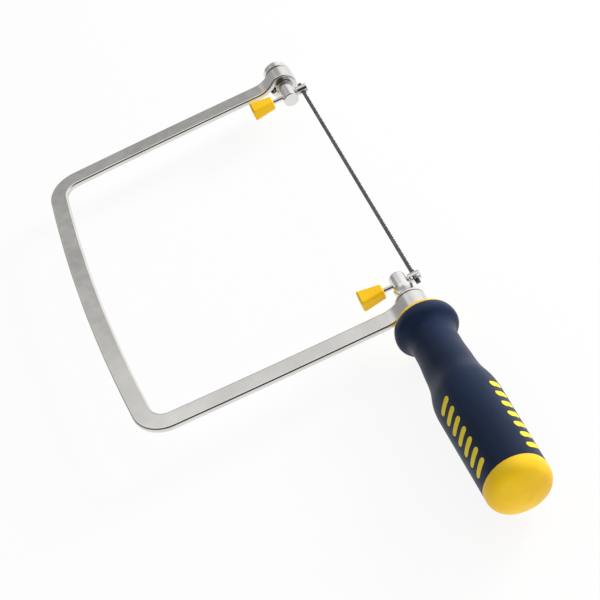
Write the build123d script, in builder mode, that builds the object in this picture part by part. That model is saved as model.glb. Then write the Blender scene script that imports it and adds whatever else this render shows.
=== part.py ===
"""Coping saw: a U-shaped flat-bar frame, a pinned blade held by two turning spigots, and a
handle that screws onto the heel spigot to draw the blade tight.

Units are millimetres. The saw lies flat: the frame's mid-plane is Z = 0, X runs from the handle
to the nose along the axis that the spigots turn about, and Y runs from the blade to the frame's
back. The origin is on the turning axis, midway between the blade's two cross pins.
"""

from build123d import *
from math import asin, atan2, copysign, cos, degrees, pi, radians, sin, sqrt, tan
import os

# ------------------------------------------------------------------ driving dimensions
BLADE_REACH = 165.1  # from one cross pin of the blade to the other
BLADE_DROP = 7.6  # blade's centre line below the turning axis, towards -Y
BLADE_THICKNESS = 0.5
BLADE_WIDTH = 2.2  # plain ends, back edge to front edge
BLADE_TIP = 3.0  # steel beyond each cross pin
TOOTH_PITCH = 25.4 / 15
TOOTH_DEPTH = 0.55
TOOTH_RELIEF = 0.25  # the teeth's points stand back from the plain ends' edge
TOOTHED_HALF = 76.0  # the teeth stop this far from the blade's middle
PIN_RADIUS = 0.8
PIN_LENGTH = 5.0

FRAME_X = -2.6  # the frame's middle, a little towards the handle
BAR_WIDTH = 9.4
BAR_THICKNESS = 3.0
BAR_EDGE = 1.0  # rounding along the bar's edges
ARM_SPAN = 192.4  # between the two arms' centre lines at the eyes
BACK_SPAN = 189.0  # the same at the back: the arms lean in
BACK_Y = 135.4  # centre line of the back bar at its middle
BACK_BOW = 4.5  # the back bulges outward by this much
CORNER_RADIUS = 17.0  # outside of the two bends
EYE_RADIUS = 7.4  # outside of the rolled eyes
RISE_RADIUS = 14.0  # centre line of the bend that lifts each arm onto its eye
ROLL_END = -6.0  # degrees above +Y at which the rolled end stops

SPIGOT_RADIUS = 4.05
JOURNAL_RADIUS = EYE_RADIUS - BAR_THICKNESS - 0.08
SPIGOT_INNER_X = 75.9  # both spigots' free ends, measured from the origin
ROD_X = 80.6  # axes of the two cross rods
ROD_RADIUS = 1.15
ROD_TOP = 17.0  # upper end of each rod, inside its thumb tab
BARREL_RADIUS = 2.35
BARREL_TOP = -4.3
BARREL_END = -10.3
SLOT_WIDTH = 0.7
SLOT_FLOOR = -5.3
PIN_SEAT = 81.7  # flat on each barrel that a cross pin bears against

HEAD_RADIUS = 6.8
HEAD_LENGTH = 4.1
HEAD_SLOT = (1.5, 1.9)  # width and depth of the screwdriver slot across the nose head
HEAD_SLOT_TURN = 32.0  # degrees the slot leans from upright
NOSE_WASHER = 1.4
COLLAR_LENGTH = 8.8
COLLAR_NECK = 4.85
TAIL_RADIUS = 3.1  # threaded tail, taken at its pitch diameter
TAIL_END = -146.0
RUNNING = 0.08  # radial clearance of turning and sliding fits
FACE_GAP = 0.05

TAB_SEATS = {"nose": 9.2, "heel": 8.4}  # Y of each tab's inner end
TAB_LENGTH = 11.8
TAB_INNER = (6.0, 5.6)  # width along X, thickness along Z
TAB_OUTER = (9.3, 6.8)
TAB_EDGE = 1.4

HANDLE_FRONT = -104.8
FLANGE_X = -114.3  # station of the flange's largest radius
FLANGE_RADIUS = 15.0
FLANGE_BELL = 10.0  # radius of the flange's rounded front
GRIP_FRONT = -110.8
FLANGE_BACK = (-118.2, 12.6)  # a point on the hollow behind the flange
NECK_X, NECK_RADIUS = -124.8, 10.75
LOBE_RISE = 1.4  # the grip's three ridges stand this far above its flattened sides
LOBE_SPREAD = 10.0  # the flattened sides curve about points this many rises off the axis
LOBE_ANGLES = (36.0, 156.0, 276.0)  # middles of the flattened sides, degrees from +Y towards +Z
BODY_X, BODY_RADIUS = -162.5, 14.95  # where the grip reaches its full mean radius
GRIP_SWELL = (  # station, mean radius and share of the full lobes from the neck to the body
    (NECK_X, NECK_RADIUS, 0.0),
    (-131.0, 11.0, 0.15),
    (-140.0, 11.65, 0.4),
    (-147.5, 12.25, 0.6),
    (-151.5, 13.1, 0.75),
    (-155.0, 14.05, 0.88),
    (-158.5, 14.7, 0.96),
    (BODY_X, BODY_RADIUS, 1.0),
)
GRIP_REAR = -211.0
REAR_RADIUS, REAR_LOBES = 14.65, 0.35  # mean radius and share of the full lobes at the rear
BUTT_ROUND = 6.5
BUTT_LEAN = 60.0  # degrees turned by the cap's edge before its shallow dome takes over
BUTT_END = -222.0
STEM_RADIUS = 8.0
TAIL_BORE = 3.7
INSERT_RADIUS = 5.2
INSERT_SPAN = (-113.0, -133.0)
CAP_PLUG = (5.5, 12.0)  # radius and length of the cap's plug inside the stem

INLAY_COUNT = 7
INLAY_PITCH = 6.3
INLAY_MIDDLE_X = -185.5
INLAY_SIZE = (3.0, 9.0)  # along X and across
INLAY_SLANT = 18.0  # degrees
INLAY_DEPTH = 0.8
INLAY_PROUD = 0.1
INLAY_ANGLES = (38.0, 149.0)

# ------------------------------------------------------------------ derived stations
NOSE_EYE_X = FRAME_X + ARM_SPAN / 2
HEEL_EYE_X = FRAME_X - ARM_SPAN / 2
NOSE_OUTER = NOSE_EYE_X + BAR_WIDTH / 2
NOSE_INNER = NOSE_EYE_X - BAR_WIDTH / 2
HEEL_OUTER = HEEL_EYE_X - BAR_WIDTH / 2
HEEL_INNER = HEEL_EYE_X + BAR_WIDTH / 2
EYE_BORE = EYE_RADIUS - BAR_THICKNESS
ROLL_RADIUS = EYE_RADIUS - BAR_THICKNESS / 2
RISE_Y = sqrt((RISE_RADIUS + ROLL_RADIUS) ** 2 - RISE_RADIUS**2)
RISE_ANGLE = degrees(atan2(RISE_RADIUS, RISE_Y))
JOIN_Y = RISE_Y + 3.0
COLLAR_FACE = HEEL_INNER + FACE_GAP
SHOULDER_X = COLLAR_FACE - 0.4

os.makedirs("parts", exist_ok=True)


def finish_piece(piece, name):
    """Label a finished piece and write it to its own file."""
    piece.part.label = name
    export_step(piece.part, f"parts/{name}.step")


def section(*outline):
    """Half section in the XY plane, given as (x, radius) points, for turning about X."""
    with BuildSketch(Plane.XY) as half:
        with BuildLine():
            Polyline(*outline, close=True)
        make_face()
    return half.sketch


def dome_point(rim, top_x):
    """Middle point of the arc that domes a turned end, from its rim to the axis at top_x."""
    height = abs(top_x - rim[0])
    radius = (height**2 + rim[1] ** 2) / (2 * height)
    half = asin(rim[1] / radius) / 2
    return top_x - copysign(radius * (1 - cos(half)), top_x - rim[0]), radius * sin(half)


def across(x):
    """Plane at station x whose normal is +Y, for the rods and their holes."""
    return Plane(origin=(x, 0, 0), x_dir=(1, 0, 0), z_dir=(0, 1, 0))


def lobed_section(x, radius, share=1.0, growth=0.0):
    """Three-sided section at station x: flattened sides joined by tangent ridges."""
    rise = share * LOBE_RISE
    reach = (2 * LOBE_SPREAD - 1) / (LOBE_SPREAD - 2)
    half = degrees(atan2(reach * sin(pi / 3), reach * cos(pi / 3) + LOBE_SPREAD))
    flat_radius = radius - rise / 2 + LOBE_SPREAD * rise + growth
    ridge_radius = radius + rise / 2 - reach * rise + growth
    with BuildSketch(Plane.YZ.offset(x)) as lobed:
        with BuildLine():
            for angle in LOBE_ANGLES:
                flat_centre = Vector(-LOBE_SPREAD * rise, 0).rotate(Axis.Z, angle)
                ridge_centre = Vector(reach * rise, 0).rotate(Axis.Z, angle + 60)
                CenterArc(flat_centre, flat_radius, angle - half, 2 * half)
                CenterArc(ridge_centre, ridge_radius, angle + half, 120 - 2 * half)
        make_face()
    return lobed.sketch


def body_sections(growth=0.0):
    """Sections at both ends of the grip's body, grown outward by a distance."""
    return [
        lobed_section(BODY_X, BODY_RADIUS, 1.0, growth),
        lobed_section(GRIP_REAR, REAR_RADIUS, REAR_LOBES, growth),
    ]


# ------------------------------------------------------------------ frame
def back_line(offset):
    """Y of the bowed back's centre line at a distance from the frame's middle."""
    return BACK_Y - BACK_BOW * (offset / (BACK_SPAN / 2)) ** 2


def bar_outline(side):
    """Corner points of the U along its outer (side 1) or inner (side -1) edge."""
    half_eye = ARM_SPAN / 2 + side * BAR_WIDTH / 2
    half_back = BACK_SPAN / 2 + side * BAR_WIDTH / 2
    corner_y = back_line(half_back) + side * BAR_WIDTH / 2
    return (
        (FRAME_X + half_eye, JOIN_Y),
        (FRAME_X + half_back, corner_y),
        (FRAME_X, BACK_Y + side * BAR_WIDTH / 2),
        (FRAME_X - half_back, corner_y),
        (FRAME_X - half_eye, JOIN_Y),
    )


def rolled_end(x):
    """One arm's end: it lifts off the frame's plane and rolls round the turning axis."""
    with BuildPart() as end:
        with BuildSketch(Plane.YZ.offset(x - BAR_WIDTH / 2)):
            with BuildLine():
                turn = 360 + ROLL_END - RISE_ANGLE
                for radius in (EYE_RADIUS, EYE_BORE):
                    CenterArc((0, 0), radius, RISE_ANGLE, turn)
                tip = Vector(cos(radians(ROLL_END)), sin(radians(ROLL_END)))
                Line(tip * EYE_BORE, tip * EYE_RADIUS)
                for side in (1, -1):
                    radius = RISE_RADIUS - side * BAR_THICKNESS / 2
                    CenterArc((RISE_Y, RISE_RADIUS), radius, 180 + RISE_ANGLE, 90 - RISE_ANGLE)
                    edge = side * BAR_THICKNESS / 2
                    Line((RISE_Y, edge), (JOIN_Y, edge))
                Line((JOIN_Y, -BAR_THICKNESS / 2), (JOIN_Y, BAR_THICKNESS / 2))
            make_face()
        extrude(amount=BAR_WIDTH)
        sides = end.edges().group_by(Axis.X)
        rims = (sides[0] + sides[-1]).filter_by(lambda e: e.center().Y < JOIN_Y - 0.01)
        fillet(rims, radius=BAR_EDGE)
    return end.part


rolled_ends = [rolled_end(x) for x in (NOSE_EYE_X, HEEL_EYE_X)]

with BuildPart() as frame_bar:
    with BuildSketch(Plane.XY.offset(-BAR_THICKNESS / 2)) as u_shape:
        with BuildLine():
            for side in (1, -1):
                nose_foot, nose_corner, crown, heel_corner, heel_foot = bar_outline(side)
                TangentArc(nose_foot, nose_corner, tangent=(0, 1))
                ThreePointArc(nose_corner, crown, heel_corner)
                TangentArc(heel_foot, heel_corner, tangent=(0, 1))
            for end_x in (NOSE_EYE_X, HEEL_EYE_X):
                Line((end_x - BAR_WIDTH / 2, JOIN_Y), (end_x + BAR_WIDTH / 2, JOIN_Y))
        make_face()
        corners = u_shape.vertices().filter_by(lambda v: v.Y > JOIN_Y + BAR_WIDTH)
        fillet(corners.sort_by(Axis.Y)[:2], radius=CORNER_RADIUS - BAR_WIDTH)
        fillet(u_shape.vertices().sort_by(Axis.Y)[-2:], radius=CORNER_RADIUS)
    extrude(amount=BAR_THICKNESS)
    levels = frame_bar.edges().group_by(Axis.Z)
    rims = (levels[0] + levels[-1]).filter_by(lambda e: e.center().Y > JOIN_Y + 0.01)
    fillet(rims, radius=BAR_EDGE)
    add(rolled_ends)
finish_piece(frame_bar, "frame_bar")

# ------------------------------------------------------------------ nose spigot
HEAD_FACE = NOSE_OUTER + 2 * FACE_GAP + NOSE_WASHER
HEAD_SHOULDER = HEAD_FACE + 0.85 * HEAD_LENGTH

with BuildPart() as nose_spigot:
    with BuildSketch(Plane.XY):
        with BuildLine():
            Polyline(
                (HEAD_FACE + HEAD_LENGTH, 0),
                (SPIGOT_INNER_X, 0),
                (SPIGOT_INNER_X, SPIGOT_RADIUS),
                (NOSE_INNER, SPIGOT_RADIUS),
                (NOSE_INNER, JOURNAL_RADIUS),
                (HEAD_FACE, JOURNAL_RADIUS),
                (HEAD_FACE, HEAD_RADIUS),
                (HEAD_SHOULDER, HEAD_RADIUS),
            )
            head_rim, head_top = (HEAD_SHOULDER, HEAD_RADIUS), HEAD_FACE + HEAD_LENGTH
            ThreePointArc(head_rim, dome_point(head_rim, head_top), (head_top, 0))
        make_face()
    revolve(axis=Axis.X)
    chamfer(nose_spigot.edges().filter_by(GeomType.CIRCLE).sort_by(Axis.X)[0], length=0.3)
    with BuildSketch(across(ROD_X)):
        Circle(ROD_RADIUS)
    extrude(amount=SPIGOT_RADIUS + 1, both=True, mode=Mode.SUBTRACT)
    with BuildSketch(Plane.YZ.offset(head_top - HEAD_SLOT[1])):
        Rectangle(3 * HEAD_RADIUS, HEAD_SLOT[0], rotation=90 + HEAD_SLOT_TURN)
    extrude(amount=HEAD_LENGTH, mode=Mode.SUBTRACT)
finish_piece(nose_spigot, "nose_spigot")

with BuildPart() as nose_washer:
    with BuildSketch(Plane.YZ.offset(NOSE_OUTER + FACE_GAP)):
        Circle(EYE_RADIUS)
        Circle(JOURNAL_RADIUS + RUNNING, mode=Mode.SUBTRACT)
    extrude(amount=NOSE_WASHER)
    circles = nose_washer.edges().filter_by(GeomType.CIRCLE)
    chamfer(circles.filter_by(lambda e: e.radius > HEAD_RADIUS), length=0.25)
finish_piece(nose_washer, "nose_washer")

# ------------------------------------------------------------------ heel spigot and its collar
SLEEVE_END = HEEL_OUTER + FACE_GAP

with BuildPart() as heel_spigot:
    outline = (
        (-SPIGOT_INNER_X, 0),
        (-SPIGOT_INNER_X, SPIGOT_RADIUS),
        (SHOULDER_X, SPIGOT_RADIUS),
        (SHOULDER_X, TAIL_RADIUS),
        (TAIL_END, TAIL_RADIUS),
        (TAIL_END, 0),
    )
    revolve(section(*outline), axis=Axis.X)
    fillet(heel_spigot.edges().filter_by(GeomType.CIRCLE).sort_by(Axis.X)[-1], radius=1.2)
    chamfer(heel_spigot.edges().filter_by(GeomType.CIRCLE).sort_by(Axis.X)[0], length=0.6)
    with BuildSketch(across(-ROD_X)):
        Circle(ROD_RADIUS)
    extrude(amount=SPIGOT_RADIUS + 1, both=True, mode=Mode.SUBTRACT)
finish_piece(heel_spigot, "heel_spigot")

with BuildPart() as heel_collar:
    with BuildSketch(Plane.XY):
        with BuildLine():
            neck = (COLLAR_FACE + COLLAR_LENGTH, COLLAR_NECK)
            rim = (COLLAR_FACE + 0.9, EYE_RADIUS - 0.1)
            throat = (COLLAR_FACE + 0.42 * COLLAR_LENGTH, COLLAR_NECK + 0.55)
            Polyline(
                rim,
                (COLLAR_FACE, EYE_RADIUS - 0.1),
                (COLLAR_FACE, JOURNAL_RADIUS),
                (SLEEVE_END, JOURNAL_RADIUS),
                (SLEEVE_END, TAIL_RADIUS + RUNNING),
                (SHOULDER_X - FACE_GAP, TAIL_RADIUS + RUNNING),
                (SHOULDER_X - FACE_GAP, SPIGOT_RADIUS + RUNNING),
                (neck[0], SPIGOT_RADIUS + RUNNING),
                neck,
            )
            ThreePointArc(neck, throat, rim)
        make_face()
    revolve(axis=Axis.X)
finish_piece(heel_collar, "heel_collar")


# ------------------------------------------------------------------ blade forks and thumb tabs
def blade_fork(x):
    """Cross rod whose slotted barrel holds one end of the blade."""
    outward = 1 if x > 0 else -1
    with BuildPart() as fork:
        with BuildSketch(across(x).offset(BARREL_END)):
            Circle(BARREL_RADIUS)
        extrude(amount=BARREL_TOP - BARREL_END)
        chamfer(fork.edges().filter_by(GeomType.CIRCLE), length=0.35)
        with BuildSketch(across(x).offset(BARREL_TOP)):
            Circle(ROD_RADIUS)
        extrude(amount=ROD_TOP - BARREL_TOP)
        with BuildSketch(across(x).offset(BARREL_END)):
            Rectangle(4 * BARREL_RADIUS, SLOT_WIDTH)
        extrude(amount=SLOT_FLOOR - BARREL_END, mode=Mode.SUBTRACT)
        seat = across(outward * (PIN_SEAT + BARREL_RADIUS)).offset(BARREL_END)
        with BuildSketch(seat):
            Rectangle(2 * BARREL_RADIUS, 4 * BARREL_RADIUS)
        extrude(amount=SLOT_FLOOR - BARREL_END, mode=Mode.SUBTRACT)
    return fork


def thumb_tab(x, seat):
    """Tapered finger grip pressed on the free end of a cross rod, its inner end at Y = seat."""
    with BuildPart() as tab:
        with BuildSketch(across(x).offset(seat)):
            RectangleRounded(*TAB_INNER, radius=TAB_EDGE)
        with BuildSketch(across(x).offset(seat + TAB_LENGTH)):
            RectangleRounded(*TAB_OUTER, radius=TAB_EDGE)
        loft()
        ends = tab.faces().filter_by(GeomType.PLANE).sort_by(Axis.Y)
        fillet(ends[0].edges() + ends[-1].edges(), radius=0.6 * TAB_EDGE)
        with BuildSketch(across(x).offset(seat - 1)):
            Circle(ROD_RADIUS)
        extrude(amount=ROD_TOP - seat + 1, mode=Mode.SUBTRACT)
    return tab


for end_name, rod_x in (("nose", ROD_X), ("heel", -ROD_X)):
    finish_piece(blade_fork(rod_x), f"{end_name}_blade_fork")
    finish_piece(thumb_tab(rod_x, TAB_SEATS[end_name]), f"{end_name}_thumb_tab")

# ------------------------------------------------------------------ blade
BLADE_HALF = BLADE_REACH / 2 + BLADE_TIP
BLADE_BACK = -BLADE_DROP + BLADE_WIDTH / 2
BLADE_FRONT = BLADE_BACK - BLADE_WIDTH
TOOTH_COUNT = int(2 * TOOTHED_HALF / TOOTH_PITCH)
ROOT_Y = BLADE_FRONT + TOOTH_RELIEF + TOOTH_DEPTH

with BuildPart() as blade:
    with BuildSketch(Plane.XY.offset(-BLADE_THICKNESS / 2)):
        with BuildLine():
            start = -TOOTH_COUNT * TOOTH_PITCH / 2
            edge = [(-BLADE_HALF, BLADE_BACK), (-BLADE_HALF, BLADE_FRONT)]
            edge += [(start - 1.2, BLADE_FRONT)]
            for tooth in range(TOOTH_COUNT):
                x = start + tooth * TOOTH_PITCH
                edge += [(x, ROOT_Y), (x + 0.3 * TOOTH_PITCH, ROOT_Y - TOOTH_DEPTH)]
            edge += [(-start, ROOT_Y), (1.2 - start, BLADE_FRONT)]
            edge += [(BLADE_HALF, BLADE_FRONT), (BLADE_HALF, BLADE_BACK)]
            Polyline(*edge, close=True)
        make_face()
        with Locations((-BLADE_REACH / 2, -BLADE_DROP), (BLADE_REACH / 2, -BLADE_DROP)):
            Circle(PIN_RADIUS, mode=Mode.SUBTRACT)
    extrude(amount=BLADE_THICKNESS)
finish_piece(blade, "blade")

with BuildPart() as blade_pins:
    with BuildSketch(Plane.XY.offset(-PIN_LENGTH / 2)):
        with Locations((-BLADE_REACH / 2, -BLADE_DROP), (BLADE_REACH / 2, -BLADE_DROP)):
            Circle(PIN_RADIUS)
    extrude(amount=PIN_LENGTH)
    chamfer(blade_pins.edges().filter_by(GeomType.CIRCLE), length=0.2)
finish_piece(blade_pins, "blade_pins")

# ------------------------------------------------------------------ handle
BELL_CENTRE = (FLANGE_X, FLANGE_RADIUS - FLANGE_BELL)


def bell_radius(x):
    """Radius of the flange's rounded front at station x."""
    return BELL_CENTRE[1] + sqrt(FLANGE_BELL**2 - (x - BELL_CENTRE[0]) ** 2)


with BuildPart() as thrust_washer:
    with BuildSketch(Plane.YZ.offset(HEEL_OUTER - FACE_GAP)):
        Circle(EYE_RADIUS)
        Circle(TAIL_RADIUS + 0.3, mode=Mode.SUBTRACT)
    extrude(amount=HANDLE_FRONT - HEEL_OUTER + FACE_GAP)
finish_piece(thrust_washer, "thrust_washer")

with BuildPart() as handle_core:
    with BuildSketch(Plane.XY):
        with BuildLine():
            front_rim = (HANDLE_FRONT - 0.6, bell_radius(HANDLE_FRONT - 0.6))
            middle_x = (front_rim[0] + GRIP_FRONT) / 2
            grip_edge = (GRIP_FRONT, bell_radius(GRIP_FRONT))
            ThreePointArc(front_rim, (middle_x, bell_radius(middle_x)), grip_edge)
            Polyline(
                grip_edge,
                (GRIP_FRONT, STEM_RADIUS),
                (GRIP_REAR, STEM_RADIUS),
                (GRIP_REAR, 0),
                (HANDLE_FRONT, 0),
                (HANDLE_FRONT, front_rim[1] - 0.6),
                front_rim,
            )
        make_face()
    revolve(axis=Axis.X)
    with BuildSketch(Plane.YZ.offset(HANDLE_FRONT + 1)):
        Circle(TAIL_BORE)
    extrude(amount=TAIL_END - HANDLE_FRONT - 6, mode=Mode.SUBTRACT)
    with BuildSketch(Plane.YZ.offset(INSERT_SPAN[0])):
        Circle(INSERT_RADIUS)
    extrude(amount=INSERT_SPAN[1] - INSERT_SPAN[0], mode=Mode.SUBTRACT)
    with BuildSketch(Plane.YZ.offset(GRIP_REAR)):
        Circle(CAP_PLUG[0])
    extrude(amount=CAP_PLUG[1], mode=Mode.SUBTRACT)
finish_piece(handle_core, "handle_core")

with BuildPart() as thread_insert:
    with BuildSketch(Plane.YZ.offset(INSERT_SPAN[1])):
        RegularPolygon(INSERT_RADIUS, side_count=24)
        Circle(TAIL_RADIUS + RUNNING, mode=Mode.SUBTRACT)
    extrude(amount=INSERT_SPAN[0] - INSERT_SPAN[1])
finish_piece(thread_insert, "thread_insert")


def cap_stations():
    """Stations and radii round the cap's edge and over its dome, each curve in even steps."""
    lean = radians(BUTT_LEAN)
    round_y = REAR_RADIUS - BUTT_ROUND
    dome_radius = BUTT_ROUND + round_y / cos(lean)
    dome_x = BUTT_END + dome_radius
    round_x = dome_x - round_y * tan(lean)
    for step in range(6):
        turn = lean * step / 5
        yield round_x - BUTT_ROUND * sin(turn), round_y + BUTT_ROUND * cos(turn)
    for step in range(4, 0, -1):
        slope = (pi / 2 - lean) * step / 5
        yield dome_x - dome_radius * cos(slope), dome_radius * sin(slope)


with BuildPart() as butt_cap:
    stations = list(cap_stations())
    loft([lobed_section(x, radius, REAR_LOBES * radius / REAR_RADIUS) for x, radius in stations])
    extrude(lobed_section(GRIP_REAR, REAR_RADIUS, REAR_LOBES), amount=stations[0][0] - GRIP_REAR)
    with BuildSketch(Plane.YZ.offset(GRIP_REAR)):
        Circle(CAP_PLUG[0] - 0.05)
    extrude(amount=CAP_PLUG[1] - 1)
finish_piece(butt_cap, "butt_cap")


def inlay_bars(angle):
    """Slanted bars let into one flattened side of the grip, standing just proud of it."""
    outward = (0, cos(radians(angle)), sin(radians(angle)))
    with BuildPart() as bars:
        with BuildSketch(Plane(origin=(INLAY_MIDDLE_X, 0, 0), x_dir=(1, 0, 0), z_dir=outward)):
            with GridLocations(INLAY_PITCH, 1, INLAY_COUNT, 1):
                SlotOverall(INLAY_SIZE[1], INLAY_SIZE[0], rotation=90 + INLAY_SLANT)
        extrude(amount=BODY_RADIUS + 2)
        loft(body_sections(INLAY_PROUD), mode=Mode.INTERSECT)
        loft(body_sections(-INLAY_DEPTH), mode=Mode.SUBTRACT)
    return bars.part


bar_sets = [inlay_bars(angle) for angle in INLAY_ANGLES]

with BuildPart() as grip_inlays:
    add(bar_sets)
finish_piece(grip_inlays, "grip_inlays")

with BuildPart() as handle_grip:
    loft([lobed_section(*station) for station in GRIP_SWELL])
    loft(body_sections())
    with BuildSketch(Plane.XY):
        with BuildLine():
            bell_x = (GRIP_FRONT + FLANGE_X) / 2
            ThreePointArc(grip_edge, (bell_x, bell_radius(bell_x)), (FLANGE_X, FLANGE_RADIUS))
            Spline(
                (FLANGE_X, FLANGE_RADIUS),
                FLANGE_BACK,
                (NECK_X, NECK_RADIUS),
                tangents=((-1, 0), (-1, 0)),
            )
            Polyline((NECK_X, NECK_RADIUS), (NECK_X, 0), (GRIP_FRONT, 0), grip_edge)
        make_face()
    revolve(axis=Axis.X)
    with BuildSketch(Plane.YZ.offset(GRIP_FRONT)):
        Circle(STEM_RADIUS)
    extrude(amount=GRIP_REAR - GRIP_FRONT, mode=Mode.SUBTRACT)
    add(grip_inlays.part, mode=Mode.SUBTRACT)
finish_piece(handle_grip, "handle_grip")
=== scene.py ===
"""Coping saw: finishes, set blade teeth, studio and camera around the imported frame.

Everything is in metres in the saw's own frame: X from the handle to the nose, Y from the blade to
the frame's back, Z square to the flat of the frame.
"""

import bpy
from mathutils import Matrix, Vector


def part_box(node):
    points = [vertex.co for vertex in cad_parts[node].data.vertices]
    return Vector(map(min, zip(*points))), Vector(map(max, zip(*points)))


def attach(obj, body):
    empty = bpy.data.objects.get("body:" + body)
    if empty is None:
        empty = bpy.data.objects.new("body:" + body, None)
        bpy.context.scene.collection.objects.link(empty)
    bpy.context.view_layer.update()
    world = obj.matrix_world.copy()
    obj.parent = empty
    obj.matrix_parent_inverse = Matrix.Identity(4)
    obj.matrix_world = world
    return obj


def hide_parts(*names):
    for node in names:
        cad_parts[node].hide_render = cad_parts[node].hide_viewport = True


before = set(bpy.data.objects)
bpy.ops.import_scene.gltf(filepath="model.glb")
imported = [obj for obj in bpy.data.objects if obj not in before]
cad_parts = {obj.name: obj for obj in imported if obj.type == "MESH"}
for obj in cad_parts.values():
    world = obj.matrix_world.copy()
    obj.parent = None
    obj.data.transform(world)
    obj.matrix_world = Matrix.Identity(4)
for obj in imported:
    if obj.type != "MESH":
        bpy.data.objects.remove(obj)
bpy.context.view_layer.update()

import logging
from dataclasses import dataclass, field
from enum import Enum
from math import radians
from typing import Any

import bpy
from mathutils import Vector

Colour = tuple[float, float, float]
Triple = tuple[float, float, float]
Span = tuple[float, float]
MM = 0.001
WHOLE: Span = (0, 1)
NOISE_SPAN: Span = (0.3, 0.7)  # where nearly all of a noise's values lie
LOG = logging.getLogger("coping_saw")


class Slot(Enum):
    """The record's material slots."""

    FRAME = "frame_plate"
    SPIGOT = "spigot_plate"
    BLADE = "blade_steel"
    PIN = "pin_steel"
    TAB = "tab_plastic"
    CORE = "core_plastic"
    INLAY = "inlay_plastic"
    GRIP = "grip_rubber"
    INSERT = "insert_brass"


# ---------------------------------------------------------------- finishes
@dataclass(frozen=True)
class Pattern:
    """A cloudy pattern.

    Attributes:
        scale: Blotches in a metre.
        stretch: How many times finer it is along X, Y and Z.
        detail: How many finer layers it has.
    """

    scale: float
    stretch: Triple = (1, 1, 1)
    detail: float = 4.0


@dataclass(frozen=True)
class Relief:
    """How a pattern stands up from its surface.

    Attributes:
        depth: Height of the relief.
        strength: How much of it shows.
    """

    depth: float
    strength: float


class MixInput(Enum):
    """Places of a Mix node's inputs, whose names are shared between kinds of value."""

    FACTOR = 0
    NUMBER_A = 2
    NUMBER_B = 3
    COLOUR_A = 6
    COLOUR_B = 7


class MixOutput(Enum):
    """Places of a Mix node's outputs."""

    NUMBER = 0
    COLOUR = 2


class Recipe:
    """One material's node tree, with short ways to add and join its nodes."""

    def __init__(self, name: str) -> None:
        """Starts a material.

        Args:
            name: What the material is called.
        """
        self.material = bpy.data.materials.new(name)
        self.material.use_nodes = True
        self.nodes = self.material.node_tree.nodes
        self.links = self.material.node_tree.links
        self.surface = self.nodes["Principled BSDF"]
        self.place = self.nodes.new("ShaderNodeTexCoord").outputs["Object"]

    def constant(self, **sockets: Any) -> None:
        """Sets the surface's own sockets, with spaces in their names written as underscores."""
        for name, value in sockets.items():
            self.surface.inputs[name.replace("_", " ")].default_value = value

    def feed(self, **sockets: Any) -> None:
        """Joins pattern sockets to the surface, with spaces in their names as underscores."""
        for name, value in sockets.items():
            self.links.new(value, self.surface.inputs[name.replace("_", " ")])

    def noise(self, pattern: Pattern) -> Any:
        """Adds a cloudy pattern that stays still on its piece.

        Args:
            pattern: Its scale, stretch and detail.

        Returns:
            The pattern's value socket.
        """
        mapping = self.nodes.new("ShaderNodeMapping")
        mapping.inputs["Scale"].default_value = pattern.stretch
        self.links.new(self.place, mapping.inputs["Vector"])
        node = self.nodes.new("ShaderNodeTexNoise")
        node.inputs["Scale"].default_value = pattern.scale
        node.inputs["Detail"].default_value = pattern.detail
        self.links.new(mapping.outputs["Vector"], node.inputs["Vector"])
        return node.outputs["Fac"]

    def graded(self, value: Any, span: Span, result: Span) -> Any:
        """Moves a value from one range to another.

        Args:
            value: The socket to read.
            span: The values that become the two ends of the result.
            result: The two ends of the result.

        Returns:
            The socket that carries the result.
        """
        node = self.nodes.new("ShaderNodeMapRange")
        for name, number in zip(("From Min", "From Max", "To Min", "To Max"), span + result):
            node.inputs[name].default_value = number
        self.links.new(value, node.inputs["Value"])
        return node.outputs["Result"]

    def coloured(self, value: Any, dark: Colour, light: Colour) -> Any:
        """Adds a colour between two others.

        Args:
            value: The socket that chooses, from 0 to 1.
            dark: Colour at 0.
            light: Colour at 1.

        Returns:
            The colour socket.
        """
        node = self.nodes.new("ShaderNodeMix")
        node.data_type = "RGBA"
        node.inputs[MixInput.COLOUR_A.value].default_value = (*dark, 1)
        node.inputs[MixInput.COLOUR_B.value].default_value = (*light, 1)
        self.links.new(value, node.inputs["Factor"])
        return node.outputs[MixOutput.COLOUR.value]

    def bump(self, height: Any, relief: Relief, under: Any = None) -> Any:
        """Adds fine relief.

        Args:
            height: The socket that carries the height, from 0 to 1.
            relief: How deep it is and how much of it shows.
            under: Normal socket of a coarser relief below this one.

        Returns:
            The normal socket.
        """
        node = self.nodes.new("ShaderNodeBump")
        node.inputs["Strength"].default_value = relief.strength
        node.inputs["Distance"].default_value = relief.depth
        self.links.new(height, node.inputs["Height"])
        if under is not None:
            self.links.new(under, node.inputs["Normal"])
        return node.outputs["Normal"]


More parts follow.
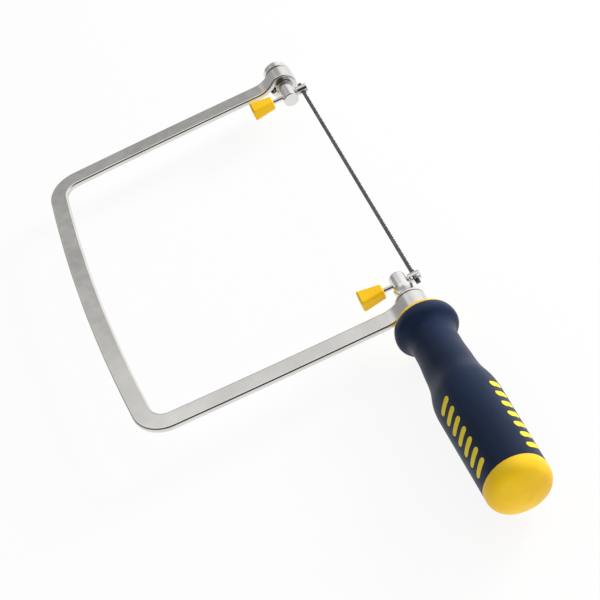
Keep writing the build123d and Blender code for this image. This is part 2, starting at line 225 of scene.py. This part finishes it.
@dataclass(frozen=True)
class PlatedSteel:
    """Bright plate over drawn or turned steel, a little cloudy, with faint tool lines.

    Attributes:
        name: What the finish is called.
        bright: Colour where the plate is clear.
        clouded: Colour where it is cloudy.
        polish: Roughness along the lines, from smooth to dull.
        lines: The lines left by drawing or turning.
        clouds: The plate's cloudiness.
        cloud_span: Values of the clouds that are fully cloudy and fully clear.
        grains: The plate's fine grain.
        line_relief: How the lines stand up.
        grain_relief: How the grain stands up.
    """

    name: str
    bright: Colour
    clouded: Colour
    polish: Span
    lines: Pattern
    clouds: Pattern = Pattern(55, detail=6)
    cloud_span: Span = (0.35, 0.68)
    grains: Pattern = Pattern(2600, detail=2)
    line_relief: Relief = Relief(0.02 * MM, 0.3)
    grain_relief: Relief = Relief(0.01 * MM, 0.35)

    def make(self) -> bpy.types.Material:
        """Builds the material.

        Returns:
            The finished material.
        """
        recipe = Recipe(self.name)
        recipe.constant(Metallic=1.0)
        clouds, lines, grains = map(recipe.noise, (self.clouds, self.lines, self.grains))
        tone = recipe.graded(clouds, self.cloud_span, WHOLE)
        ridges = recipe.bump(lines, self.line_relief)
        recipe.feed(
            Base_Color=recipe.coloured(tone, self.clouded, self.bright),
            Roughness=recipe.graded(lines, NOISE_SPAN, self.polish),
            Normal=recipe.bump(grains, self.grain_relief, ridges),
        )
        return recipe.material


@dataclass(frozen=True)
class DarkSteel:
    """Blued spring steel with fine rolling lines along its length.

    Attributes:
        name: What the finish is called.
        dark: Its darker colour.
        light: Its lighter colour.
        metal: How metallic the blued skin is.
        polish: Roughness along the lines, from smooth to dull.
        lines: The rolling lines.
        clouds: The blueing's cloudiness.
        line_relief: How the lines stand up.
    """

    name: str
    dark: Colour
    light: Colour
    metal: float = 0.85
    polish: Span = (0.34, 0.5)
    lines: Pattern = Pattern(1400, (0.03, 1, 1), 3)
    clouds: Pattern = Pattern(160)
    line_relief: Relief = Relief(0.01 * MM, 0.4)

    def make(self) -> bpy.types.Material:
        """Builds the material.

        Returns:
            The finished material.
        """
        recipe = Recipe(self.name)
        recipe.constant(Metallic=self.metal)
        lines, clouds = map(recipe.noise, (self.lines, self.clouds))
        tone = recipe.graded(clouds, NOISE_SPAN, WHOLE)
        recipe.feed(
            Base_Color=recipe.coloured(tone, self.dark, self.light),
            Roughness=recipe.graded(lines, NOISE_SPAN, self.polish),
            Normal=recipe.bump(lines, self.line_relief),
        )
        return recipe.material


@dataclass(frozen=True)
class MouldedPlastic:
    """Coloured moulding with slight flow marks and a fine skin.

    Attributes:
        name: What the finish is called.
        deep: Its deeper colour.
        pale: Its paler colour.
        shine: Roughness over the waves, from smooth to dull.
        index: Its index of refraction.
        gloss: How strongly it reflects.
        flow: The flow marks.
        flow_span: Values of the flow marks that are fully deep and fully pale.
        skin: The mould's fine skin.
        waves: The slow waves of a cooled surface.
        skin_relief: How the skin stands up.
        wave_relief: How the waves stand up.
    """

    name: str
    deep: Colour
    pale: Colour
    shine: Span
    index: float = 1.45
    gloss: float = 0.35
    flow: Pattern = Pattern(70, (0.5, 1, 1), 5)
    flow_span: Span = (0.32, 0.68)
    skin: Pattern = Pattern(3800, detail=2)
    waves: Pattern = Pattern(240)
    skin_relief: Relief = Relief(0.01 * MM, 0.5)
    wave_relief: Relief = Relief(0.03 * MM, 0.25)

    def make(self) -> bpy.types.Material:
        """Builds the material.

        Returns:
            The finished material.
        """
        recipe = Recipe(self.name)
        recipe.constant(IOR=self.index, Specular_IOR_Level=self.gloss)
        flow, skin, waves = map(recipe.noise, (self.flow, self.skin, self.waves))
        tone = recipe.graded(flow, self.flow_span, WHOLE)
        swell = recipe.bump(waves, self.wave_relief)
        recipe.feed(
            Base_Color=recipe.coloured(tone, self.deep, self.pale),
            Roughness=recipe.graded(waves, NOISE_SPAN, self.shine),
            Normal=recipe.bump(skin, self.skin_relief, swell),
        )
        return recipe.material


@dataclass(frozen=True)
class SoftGrip:
    """Soft-touch rubber: a fine pebbled skin, satin where hands have polished it.

    Attributes:
        name: What the finish is called.
        deep: Its deeper colour.
        pale: Its paler colour.
        worn: Roughness from the untouched skin to the most rubbed.
        index: Its index of refraction.
        gloss: How strongly it reflects.
        sheen_tint: Colour of its reflections.
        pebbles: The pebbled skin.
        rubbed: Where hands have polished it.
        pebble_relief: How the pebbles stand up.
    """

    name: str
    deep: Colour
    pale: Colour
    worn: Span = (0.5, 0.4)
    index: float = 1.45
    gloss: float = 0.24
    sheen_tint: Colour = (0.5, 0.7, 1)
    pebbles: Pattern = Pattern(2900, detail=2)
    rubbed: Pattern = Pattern(38, (0.6, 1, 1), 5)
    pebble_relief: Relief = Relief(0.03 * MM, 0.4)

    def make(self) -> bpy.types.Material:
        """Builds the material.

        Returns:
            The finished material.
        """
        recipe = Recipe(self.name)
        recipe.constant(
            IOR=self.index, Specular_IOR_Level=self.gloss, Specular_Tint=(*self.sheen_tint, 1)
        )
        pebbles, rubbed = map(recipe.noise, (self.pebbles, self.rubbed))
        tone = recipe.graded(rubbed, NOISE_SPAN, WHOLE)
        recipe.feed(
            Base_Color=recipe.coloured(tone, self.deep, self.pale),
            Roughness=recipe.graded(rubbed, NOISE_SPAN, self.worn),
            Normal=recipe.bump(pebbles, self.pebble_relief),
        )
        return recipe.material


@dataclass(frozen=True)
class TurnedBrass:
    """Brass with lathe rings about the turning axis.

    Attributes:
        name: What the finish is called.
        deep: Its deeper colour.
        pale: Its paler colour.
        polish: Roughness over the rings, from smooth to dull.
        rings: The lathe's rings.
        clouds: The brass's slow change of colour.
        ring_relief: How the rings stand up.
    """

    name: str
    deep: Colour
    pale: Colour
    polish: Span = (0.25, 0.4)
    rings: Pattern = Pattern(1800, (1, 0.05, 0.05), 2)
    clouds: Pattern = Pattern(200)
    ring_relief: Relief = Relief(0.02 * MM, 0.4)

    def make(self) -> bpy.types.Material:
        """Builds the material.

        Returns:
            The finished material.
        """
        recipe = Recipe(self.name)
        recipe.constant(Metallic=1.0)
        rings, clouds = map(recipe.noise, (self.rings, self.clouds))
        recipe.feed(
            Base_Color=recipe.coloured(clouds, self.deep, self.pale),
            Roughness=recipe.graded(rings, NOISE_SPAN, self.polish),
            Normal=recipe.bump(rings, self.ring_relief),
        )
        return recipe.material


FRAME_PLATE = PlatedSteel(
    name="frame nickel plate",
    bright=(0.77, 0.76, 0.735),
    clouded=(0.68, 0.67, 0.645),
    polish=(0.13, 0.22),
    lines=Pattern(900, (0.25, 0.25, 1), 3),
)
SPIGOT_PLATE = PlatedSteel(
    name="turned nickel plate",
    bright=(0.79, 0.78, 0.765),
    clouded=(0.7, 0.69, 0.675),
    polish=(0.14, 0.25),
    lines=Pattern(900, (1, 0.08, 0.08), 3),
)
PIN_STEEL = PlatedSteel(
    name="drawn pin steel",
    bright=(0.42, 0.42, 0.42),
    clouded=(0.3, 0.3, 0.3),
    polish=(0.25, 0.4),
    lines=Pattern(900, (1, 1, 0.1), 3),
)
BLADE_STEEL = DarkSteel("blued blade steel", (0.09, 0.09, 0.087), (0.15, 0.148, 0.143))
TAB_YELLOW = MouldedPlastic(
    name="tab moulding", deep=(0.94, 0.53, 0.002), pale=(1.0, 0.62, 0.004), shine=(0.36, 0.5)
)
CORE_YELLOW = MouldedPlastic(
    name="core moulding", deep=(0.81, 0.48, 0.006), pale=(0.89, 0.57, 0.012), shine=(0.34, 0.48)
)
INLAY_YELLOW = MouldedPlastic(
    name="inlay moulding", deep=(0.78, 0.6, 0.02), pale=(0.85, 0.67, 0.03), shine=(0.5, 0.62)
)
GRIP_NAVY = SoftGrip("navy soft grip", (0.008, 0.0135, 0.034), (0.013, 0.0225, 0.055))
INSERT_BRASS = TurnedBrass("insert brass", (0.6, 0.42, 0.16), (0.78, 0.58, 0.28))


def dress(name: str, material: bpy.types.Material) -> bpy.types.Object:
    """Gives a CAD node its finish.

    Args:
        name: The node.
        material: What it is made of.

    Returns:
        The node's object.
    """
    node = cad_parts[name]
    node.data.materials.clear()
    node.data.materials.append(material)
    LOG.info("%s dressed in %s", name, material.name)
    return node


# ---------------------------------------------------------------- sub-assemblies
@dataclass
class FramePart:
    """The flat-bar frame and the bush in its heel eye."""

    plate: PlatedSteel = FRAME_PLATE
    turned: PlatedSteel = SPIGOT_PLATE

    def build(self) -> None:
        """Dresses the frame's pieces."""
        dress("frame_bar", self.plate.make())
        dress("heel_collar", self.turned.make())


@dataclass
class Spigots:
    """The two turning spigots with their cross rods and thumb tabs."""

    turned: PlatedSteel = SPIGOT_PLATE
    tab: MouldedPlastic = TAB_YELLOW
    metal: tuple[str, ...] = (
        "nose_spigot",
        "nose_washer",
        "nose_blade_fork",
        "heel_spigot",
        "heel_blade_fork",
    )
    tabs: tuple[str, ...] = ("nose_thumb_tab", "heel_thumb_tab")

    def build(self) -> None:
        """Dresses the spigots' pieces."""
        turned, yellow = self.turned.make(), self.tab.make()
        for name in self.metal:
            dress(name, turned)
        for name in self.tabs:
            dress(name, yellow)


@dataclass
class Blade:
    """The pinned blade, its teeth leaning to alternate sides as a saw setter leaves them.

    Attributes:
        steel: Finish of the blade.
        pin: Finish of its cross pins.
        pitch: Distance from one tooth to the next.
        lean: How far each tip stands to its own side.
        relief: How far the tips stand back from the plain ends' edge.
        near: How close to the tips' line a corner must be to belong to a tip.
        merge: How close two corners must be to become one.
    """

    steel: DarkSteel = BLADE_STEEL
    pin: PlatedSteel = PIN_STEEL
    pitch: float = 25.4 / 15 * MM
    lean: float = 0.1 * MM
    relief: float = 0.25 * MM
    near: float = 0.05 * MM
    merge: float = 0.001 * MM

    def build(self) -> None:
        """Makes the set blade and dresses it and its pins."""
        blade = self.set_teeth(dress("blade", self.steel.make()))
        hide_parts("blade")
        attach(blade, "blade_set")
        dress("blade_pins", self.pin.make())

    def set_teeth(self, plain: bpy.types.Object) -> bpy.types.Object:
        """Copies the plain blade and leans its teeth.

        Args:
            plain: The blade with upright teeth.

        Returns:
            The blade with set teeth.
        """
        blade = bpy.data.objects.new("set_toothed_blade", plain.data.copy())
        bpy.context.scene.collection.objects.link(blade)
        bpy.ops.object.select_all(action="DESELECT")
        blade.select_set(True)
        bpy.context.view_layer.objects.active = blade
        bpy.ops.object.mode_set(mode="EDIT")
        bpy.ops.mesh.select_all(action="SELECT")
        bpy.ops.mesh.remove_doubles(threshold=self.merge)
        bpy.ops.mesh.normals_make_consistent(inside=False)
        tip_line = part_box("blade")[0][1] + self.relief
        for side, lean in ((0, self.lean), (1, -self.lean)):
            self.select_tips(blade, tip_line, side)
            bpy.ops.transform.translate(value=(0, 0, lean))
        bpy.ops.object.mode_set(mode="OBJECT")
        LOG.info("%s has %d corners", blade.name, len(blade.data.vertices))
        return blade

    def select_tips(self, blade: bpy.types.Object, tip_line: float, side: int) -> None:
        """Selects the tips that lean to one side.

        Args:
            blade: The blade, in edit mode.
            tip_line: Y of the tips.
            side: 0 for the even teeth, 1 for the odd ones.
        """
        bpy.ops.mesh.select_all(action="DESELECT")
        bpy.ops.object.mode_set(mode="OBJECT")
        for corner in blade.data.vertices:
            tooth = round(corner.co.x / self.pitch)
            corner.select = abs(corner.co.y - tip_line) < self.near and tooth % 2 == side
        bpy.ops.object.mode_set(mode="EDIT")


@dataclass
class Handle:
    """The screw-on handle: core, soft grip, inlays, butt cap and its metal fittings."""

    core: MouldedPlastic = CORE_YELLOW
    grip: SoftGrip = GRIP_NAVY
    inlay: MouldedPlastic = INLAY_YELLOW
    brass: TurnedBrass = INSERT_BRASS
    washer: PlatedSteel = SPIGOT_PLATE

    def build(self) -> None:
        """Dresses the handle's pieces."""
        yellow = self.core.make()
        dress("handle_core", yellow)
        dress("butt_cap", yellow)
        dress("handle_grip", self.grip.make())
        dress("grip_inlays", self.inlay.make())
        dress("thread_insert", self.brass.make())
        dress("thrust_washer", self.washer.make())


# ---------------------------------------------------------------- studio
@dataclass
class Softbox:
    """One soft rectangular light.

    Attributes:
        name: What it is called.
        place: Where it stands.
        aim: What it points at.
        size: Its width and height.
        watts: Its power.
    """

    name: str
    place: Triple
    aim: Triple
    size: Span
    watts: float

    def build(self) -> None:
        """Adds the light."""
        lamp = bpy.data.lights.new(self.name, "AREA")
        lamp.shape, lamp.energy = "RECTANGLE", self.watts
        lamp.size, lamp.size_y = self.size
        stand = bpy.data.objects.new(self.name, lamp)
        stand.location = self.place
        stand.visible_glossy = False
        stand.rotation_mode = "QUATERNION"
        stand.rotation_quaternion = (Vector(self.aim) - Vector(self.place)).to_track_quat("-Z", "Y")
        bpy.context.scene.collection.objects.link(stand)
        LOG.info("%s lit at %.1f W", self.name, self.watts)


@dataclass(frozen=True)
class WallPatch:
    """A lighter or darker patch of the room, seen in the plated steel.

    Attributes:
        towards: Direction of its middle.
        edge: Cosine of the angle at which it begins to show.
        core: Cosine of the angle inside which it is whole.
        level: Its brightness.
    """

    towards: Triple
    edge: float
    core: float
    level: float


@dataclass
class Studio:
    """Pale floor, soft lights, surrounding walls and the camera.

    Attributes:
        floor_drop: How far the floor lies below the saw's own plane.
        floor_size: Width and length of the floor.
        floor_tone: Colour of the paper.
        floor_cloud: How far the paper's clouds darken it.
        floor_clouds: The clouds.
        floor_glow: Light that the paper gives back evenly, so that it stays pale.
        floor_roughness: Roughness of the paper.
        floor_index: Its index of refraction.
        room_level: Brightness of the walls between the patches.
        patches: The lighter and darker patches.
        eye: Where the camera stands.
        turn: How the camera is turned, in degrees about X, Y and Z.
        lens: Its focal length in millimetres.
        sensor: Width of its sensor in millimetres.
        clip: Nearest and farthest distance that it sees.
        lights: The soft lights.
    """

    floor_drop: float = 16.5 * MM
    floor_size: float = 9.0
    floor_tone: Colour = (0.1, 0.1, 0.1)
    floor_cloud: float = 0.97
    floor_clouds: Pattern = Pattern(3)
    floor_glow: float = 0.89
    floor_roughness: float = 0.9
    floor_index: float = 1.3
    room_level: float = 0.45
    patches: tuple[WallPatch, ...] = (
        WallPatch((0.35, -0.85, 0.4), 0.45, 0.9, 1.2),
        WallPatch((-0.3, 0.9, 0.35), 0.35, 0.85, 0.15),
        WallPatch((0.5, 0.0, 0.87), 0.8, 0.97, 1.05),
        WallPatch((0.87, 0.0, 0.5), 0.95, 0.985, 0.42),
        WallPatch((-0.7, 0.0, 0.71), 0.72, 0.96, 0.03),
    )
    eye: Triple = (-0.652517, 0.073278, 0.571291)
    turn: Triple = (43.52369, 16.52448, -109.48956)
    lens: float = 106.087
    sensor: float = 36
    clip: Span = (0.01, 50)
    lights: list[Softbox] = field(default_factory=lambda: [
        Softbox("key softbox", (0.25, -0.85, 0.35), (-0.15, 0, 0), (0.3, 0.3), 9.5),
        Softbox("side softbox", (-0.8, 0.2, 0.2), (-0.08, 0, 0), (0.4, 0.4), 1.8),
    ])

    def build(self) -> None:
        """Builds the whole studio."""
        self.lay_floor()
        self.paint_room()
        for light in self.lights:
            light.build()
        self.stand_camera()

    def lay_floor(self) -> None:
        """Lays the pale floor."""
        bpy.ops.object.select_all(action="DESELECT")
        bpy.ops.mesh.primitive_plane_add(size=self.floor_size, location=(0, 0, -self.floor_drop))
        floor = bpy.context.active_object
        floor.name = "studio_floor"
        bpy.ops.object.transform_apply(location=True, rotation=True, scale=True)
        recipe = Recipe("studio paper")
        recipe.constant(
            Roughness=self.floor_roughness,
            IOR=self.floor_index,
            Emission_Color=(1, 1, 1, 1),
            Emission_Strength=self.floor_glow,
        )
        clouded = tuple(self.floor_cloud * part for part in self.floor_tone)
        clouds = recipe.noise(self.floor_clouds)
        recipe.feed(Base_Color=recipe.coloured(clouds, clouded, self.floor_tone))
        floor.data.materials.append(recipe.material)

    def paint_room(self) -> None:
        """Surrounds the saw with walls whose patches are lighter or darker."""
        world = bpy.data.worlds.new("studio room")
        bpy.context.scene.world = world
        world.use_nodes = True
        nodes, links = world.node_tree.nodes, world.node_tree.links
        place = nodes.new("ShaderNodeTexCoord").outputs["Generated"]
        level = nodes.new("ShaderNodeValue").outputs["Value"]
        level.default_value = self.room_level
        for patch in self.patches:
            dot = nodes.new("ShaderNodeVectorMath")
            dot.operation = "DOT_PRODUCT"
            dot.inputs[1].default_value = Vector(patch.towards).normalized()
            links.new(place, dot.inputs[0])
            ramp = nodes.new("ShaderNodeMapRange")
            ramp.interpolation_type = "SMOOTHSTEP"
            ramp.inputs["From Min"].default_value = patch.edge
            ramp.inputs["From Max"].default_value = patch.core
            links.new(dot.outputs["Value"], ramp.inputs["Value"])
            mix = nodes.new("ShaderNodeMix")
            links.new(ramp.outputs["Result"], mix.inputs[MixInput.FACTOR.value])
            links.new(level, mix.inputs[MixInput.NUMBER_A.value])
            mix.inputs[MixInput.NUMBER_B.value].default_value = patch.level
            level = mix.outputs[MixOutput.NUMBER.value]
        links.new(level, nodes["Background"].inputs["Strength"])
        nodes["Background"].inputs["Color"].default_value = (1, 1, 1, 1)

    def stand_camera(self) -> None:
        """Stands the camera at its place."""
        lens = bpy.data.cameras.new("camera")
        lens.lens, lens.sensor_width = self.lens, self.sensor
        lens.clip_start, lens.clip_end = self.clip
        stand = bpy.data.objects.new("camera", lens)
        stand.location = self.eye
        stand.rotation_euler = [radians(angle) for angle in self.turn]
        bpy.context.scene.collection.objects.link(stand)
        bpy.context.scene.camera = stand
        bpy.context.scene.view_settings.view_transform = "Standard"


def main() -> None:
    """Builds every sub-assembly and the studio, in order."""
    logging.basicConfig(level=logging.INFO, format="%(name)s: %(message)s")
    for part in (FramePart(), Spigots(), Blade(), Handle(), Studio()):
        part.build()
        LOG.info("%s done", type(part).__name__)


if __name__ == "__main__":
    main()
